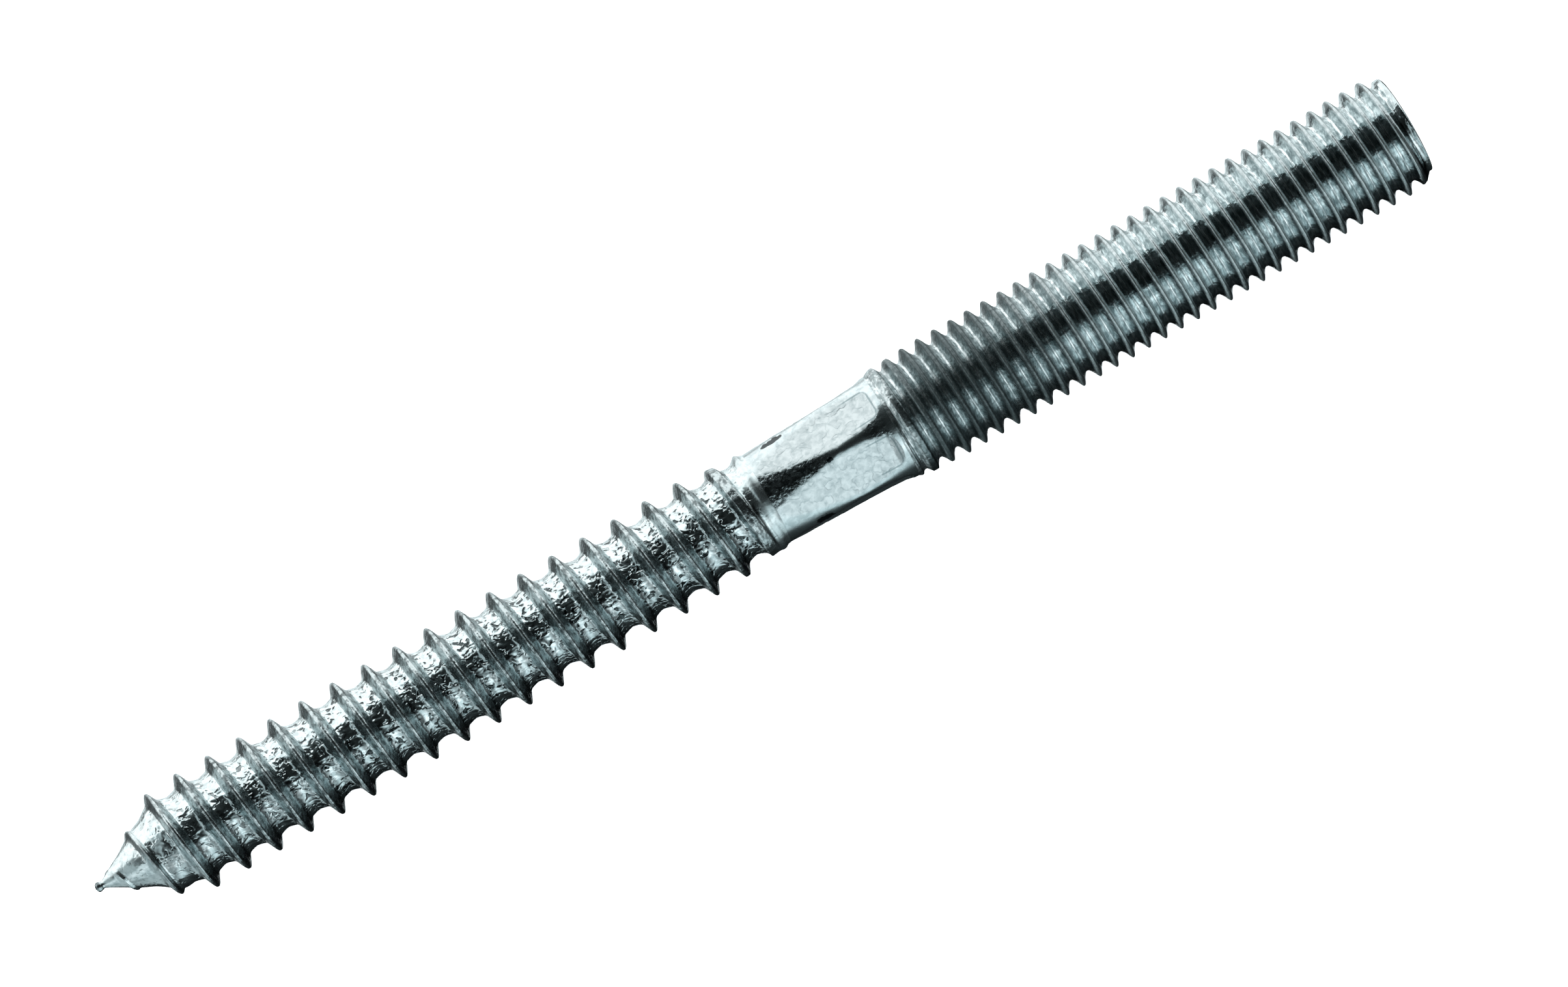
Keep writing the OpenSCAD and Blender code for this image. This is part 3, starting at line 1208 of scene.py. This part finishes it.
@dataclass
class Studio:
    """Soft light: long white and grey screens beside the bolt, a dark gap above it, and a wide lamp.

    The screens run round the bolt by angle, in degrees from straight up, with plus towards -Y. How bright
    they are also depends on how far a direction leans along the bolt, from -1 at the tip's side to 1.
    """

    strength: float = 1.6
    lamp_strength: float = 8.0
    lamp_angle: float = 120.0
    reach: Curve = (
        (-0.7, 0.75), (-0.62, 0.3), (-0.5, 0.3), (-0.4, 0.55), (-0.3, 0.65), (-0.16, 1.0), (0.16, 1.0),
        (0.3, 0.65), (0.4, 0.55), (0.5, 0.3), (0.6, 0.1), (1.0, 0.05),
    )
    behind: Fade = Fade(-142, -132, 1.0, 0.0)
    behind_cut: Fade = Fade(0.3, 0.45, 0.0, 0.85)
    above: Fade = Fade(-20, 0, 1.0, 0.0)
    above_share: Colour = (0.88, 0.9, 0.9, 1.0)
    notch: Fade = Fade(-136, -129, 0.75, 0.0)
    notch_side: Fade = Fade(0.06, 0.16, 1.0, 0.0)
    notch_shift: Fade = Fade(-146, -140, 0.42, 0.0)
    tip_screen: Colour = (0.27, 0.32, 0.33, 1.0)
    tip_ahead: Fade = Fade(-0.72, -0.6, 1.0, 0.0)
    tip_height: Fade = Fade(0.38, 0.46)
    tip_side: Fade = Fade(-0.48, -0.36, 1.0, 0.0)
    tip_under: Fade = Fade(95, 110)
    end_screen: Colour = (0.4, 0.47, 0.48, 1.0)
    end_ahead: Fade = Fade(0.9, 0.97)
    end_height: Fade = Fade(-0.05, 0.12, 1.0, 0.0)
    screens: tuple[tuple[float, tuple[float, float, float]], ...] = (
        (-180, (0.5, 0.56, 0.57)),
        (-160, (0.52, 0.58, 0.59)),
        (-148, (0.6, 0.66, 0.67)),
        (-138, (0.9, 0.94, 0.94)),
        (-125, (1.0, 1.0, 1.0)),
        (-58, (1.0, 1.0, 1.0)),
        (-50, (0.75, 0.82, 0.83)),
        (-44, (0.03, 0.036, 0.037)),
        (-16, (0.008, 0.01, 0.01)),
        (18, (0.01, 0.012, 0.012)),
        (27, (0.22, 0.27, 0.28)),
        (34, (0.5, 0.59, 0.61)),
        (45, (0.58, 0.67, 0.69)),
        (54, (0.95, 1.02, 1.04)),
        (66, (0.58, 0.67, 0.69)),
        (96, (0.42, 0.51, 0.53)),
        (112, (0.02, 0.025, 0.026)),
        (180, (0.0, 0.0, 0.0)),
    )

    def build(self) -> None:
        """Sets the world's light and the view, and hangs the lamp that lights the floor."""
        scene = bpy.context.scene
        world = bpy.data.worlds.new("studio")
        scene.world = world
        world.use_nodes = True
        graph = Graph(world.node_tree)
        light = graph.node("ShaderNodeBackground")
        graph.feed(light.inputs["Color"], self.colour(graph))
        light.inputs["Strength"].default_value = self.strength
        output = graph.node("ShaderNodeOutputWorld")
        graph.tree.links.new(light.outputs[0], output.inputs[0])
        lamp = bpy.data.lights.new("wide_lamp", "SUN")
        lamp.energy = self.lamp_strength
        lamp.angle = math.radians(self.lamp_angle)
        hung = bpy.data.objects.new("wide_lamp", lamp)
        scene.collection.objects.link(hung)
        hung.visible_glossy = False
        scene.view_settings.view_transform = "Standard"

    def colour(self, graph: Graph) -> Socket:
        """Joins all the screens.

        Args:
            graph: Node tree of the world.

        Returns:
            The colour of the light from each direction.
        """
        way = graph.node("ShaderNodeTexCoord").outputs["Generated"]
        height = graph.axis(way, "Z")
        lean = graph.axis(way, "X")
        angle = graph.math("ARCTAN2", graph.product(graph.axis(way, "Y"), -1.0), height)
        turn = graph.math("ADD", graph.math("DIVIDE", angle, TAU), 0.5)
        screens = self.ramp(graph, turn, [((a + 180) / 360, colour) for a, colour in self.screens])
        sides = graph.node("ShaderNodeVectorMath", operation="MULTIPLY")
        graph.feed(sides.inputs[0], screens)
        graph.feed(sides.inputs[1], self.share(graph, angle, lean))
        ahead = graph.product(graph.fade(lean, self.tip_ahead), graph.fade(height, self.tip_height))
        under = graph.fade(angle, self.tip_under.from_degrees())
        under = graph.product(graph.fade(lean, self.tip_side), under)
        tip = graph.node("ShaderNodeMix", data_type="RGBA", blend_type="LIGHTEN")
        graph.feed(tip.inputs[0], graph.math("MAXIMUM", ahead, under))
        graph.feed(tip.inputs[6], sides.outputs[0])
        graph.feed(tip.inputs[7], self.tip_screen)
        end = graph.product(graph.fade(height, self.end_height), graph.fade(lean, self.end_ahead))
        return graph.blend(end, tip.outputs[2], self.end_screen)

    def share(self, graph: Graph, angle: Socket, lean: Socket) -> Socket:
        """Finds how much of the screens shows.

        Args:
            graph: Node tree of the world.
            angle: Angle round the bolt, in radians.
            lean: Lean along the bolt.

        Returns:
            The share of the light, as a colour.
        """
        place = graph.math("MULTIPLY_ADD", lean, 0.5, 0.5)
        share = self.ramp(graph, place, [((x + 1) / 2, (s, s, s)) for x, s in self.reach])
        behind = graph.fade(angle, self.behind.from_degrees())
        above = graph.math("SUBTRACT", graph.fade(angle, self.above.from_degrees()), behind)
        share = graph.blend(above, share, self.above_share)
        share = graph.blend(graph.product(behind, graph.fade(lean, self.behind_cut)), share, BLACK)
        shifted = graph.math("ADD", lean, graph.fade(angle, self.notch_shift.from_degrees()))
        notch = graph.fade(angle, self.notch.from_degrees())
        notch = graph.product(notch, graph.fade(shifted, self.notch_side))
        return graph.blend(notch, share, BLACK)

    def ramp(self, graph: Graph, place: Socket, stops: list[tuple[float, tuple]]) -> Socket:
        """Reads a ramp of colours.

        Args:
            graph: Node tree of the world.
            place: Place on the ramp, from 0 to 1.
            stops: Place and colour of each stop, in rising order of place.

        Returns:
            The colour at the place.
        """
        made = graph.node("ShaderNodeValToRGB")
        graph.feed(made.inputs[0], place)
        elements = made.color_ramp.elements
        for number, (at, colour) in enumerate(stops):
            if number < len(elements):
                stop = elements[number]
                stop.position = at
            else:
                stop = elements.new(at)
            stop.color = (*colour, 1.0)
        return made.outputs[0]


@dataclass
class PhotoCamera:
    """Long-lens camera at the photograph's angle, with the bolt where the photograph has it."""

    width: int = 2408
    height: int = 1516
    pixels_per_mm: float = 19.43
    axis_rise: float = 30.2
    middle: tuple[float, float] = (1156.5, 777.8)
    elevation: float = 85.0
    tilt: float = 2.7
    lens: float = 250.0
    sensor: float = 36.0
    clip: tuple[float, float] = (0.05, 20.0)

    def build(self, centre: Vector) -> None:
        """Sets the camera up.

        Args:
            centre: Middle of the bolt, in metres.
        """
        elevation = math.radians(self.elevation)
        tilt = math.radians(self.tilt)
        rise = math.radians(self.axis_rise)
        back = Vector((
            -math.sin(tilt),
            -math.cos(tilt) * math.cos(elevation),
            math.cos(tilt) * math.sin(elevation),
        ))
        level = (Vector((1, 0, 0)) - back * back.x).normalized()
        upright = back.cross(level)
        right = level * math.cos(rise) - upright * math.sin(rise)
        up = level * math.sin(rise) + upright * math.cos(rise)
        pixel = MM / self.pixels_per_mm
        aim = centre + right * (self.width / 2 - self.middle[0]) * pixel
        aim = aim + up * (self.middle[1] - self.height / 2) * pixel
        distance = self.width * pixel * self.lens / self.sensor
        lens = bpy.data.cameras.new("camera")
        lens.lens = self.lens
        lens.sensor_width = self.sensor
        lens.clip_start, lens.clip_end = self.clip
        camera = bpy.data.objects.new("camera", lens)
        bpy.context.scene.collection.objects.link(camera)
        turn = Matrix((right, up, back)).transposed().to_4x4()
        camera.matrix_world = Matrix.Translation(aim + back * distance) @ turn
        bpy.context.scene.camera = camera


def main() -> None:
    """Builds the bolt, the floor, the light and the camera, and reports each piece."""
    logging.basicConfig(level=logging.INFO, format="%(name)s: %(message)s")
    piece = HangerBolt().build()
    mesh = piece.data
    mesh.calc_loop_triangles()
    log.info("%s: %d points, %d triangles", piece.name, len(mesh.vertices), len(mesh.loop_triangles))
    lowest = min(vertex.co.z for vertex in mesh.vertices)
    floor = PaleFloor().build(lowest)
    log.info("%s at %.3f mm", floor.name, lowest / MM)
    Studio().build()
    low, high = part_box(NODE)
    PhotoCamera().build((low + high) / 2)


if __name__ == "__main__":
    main()
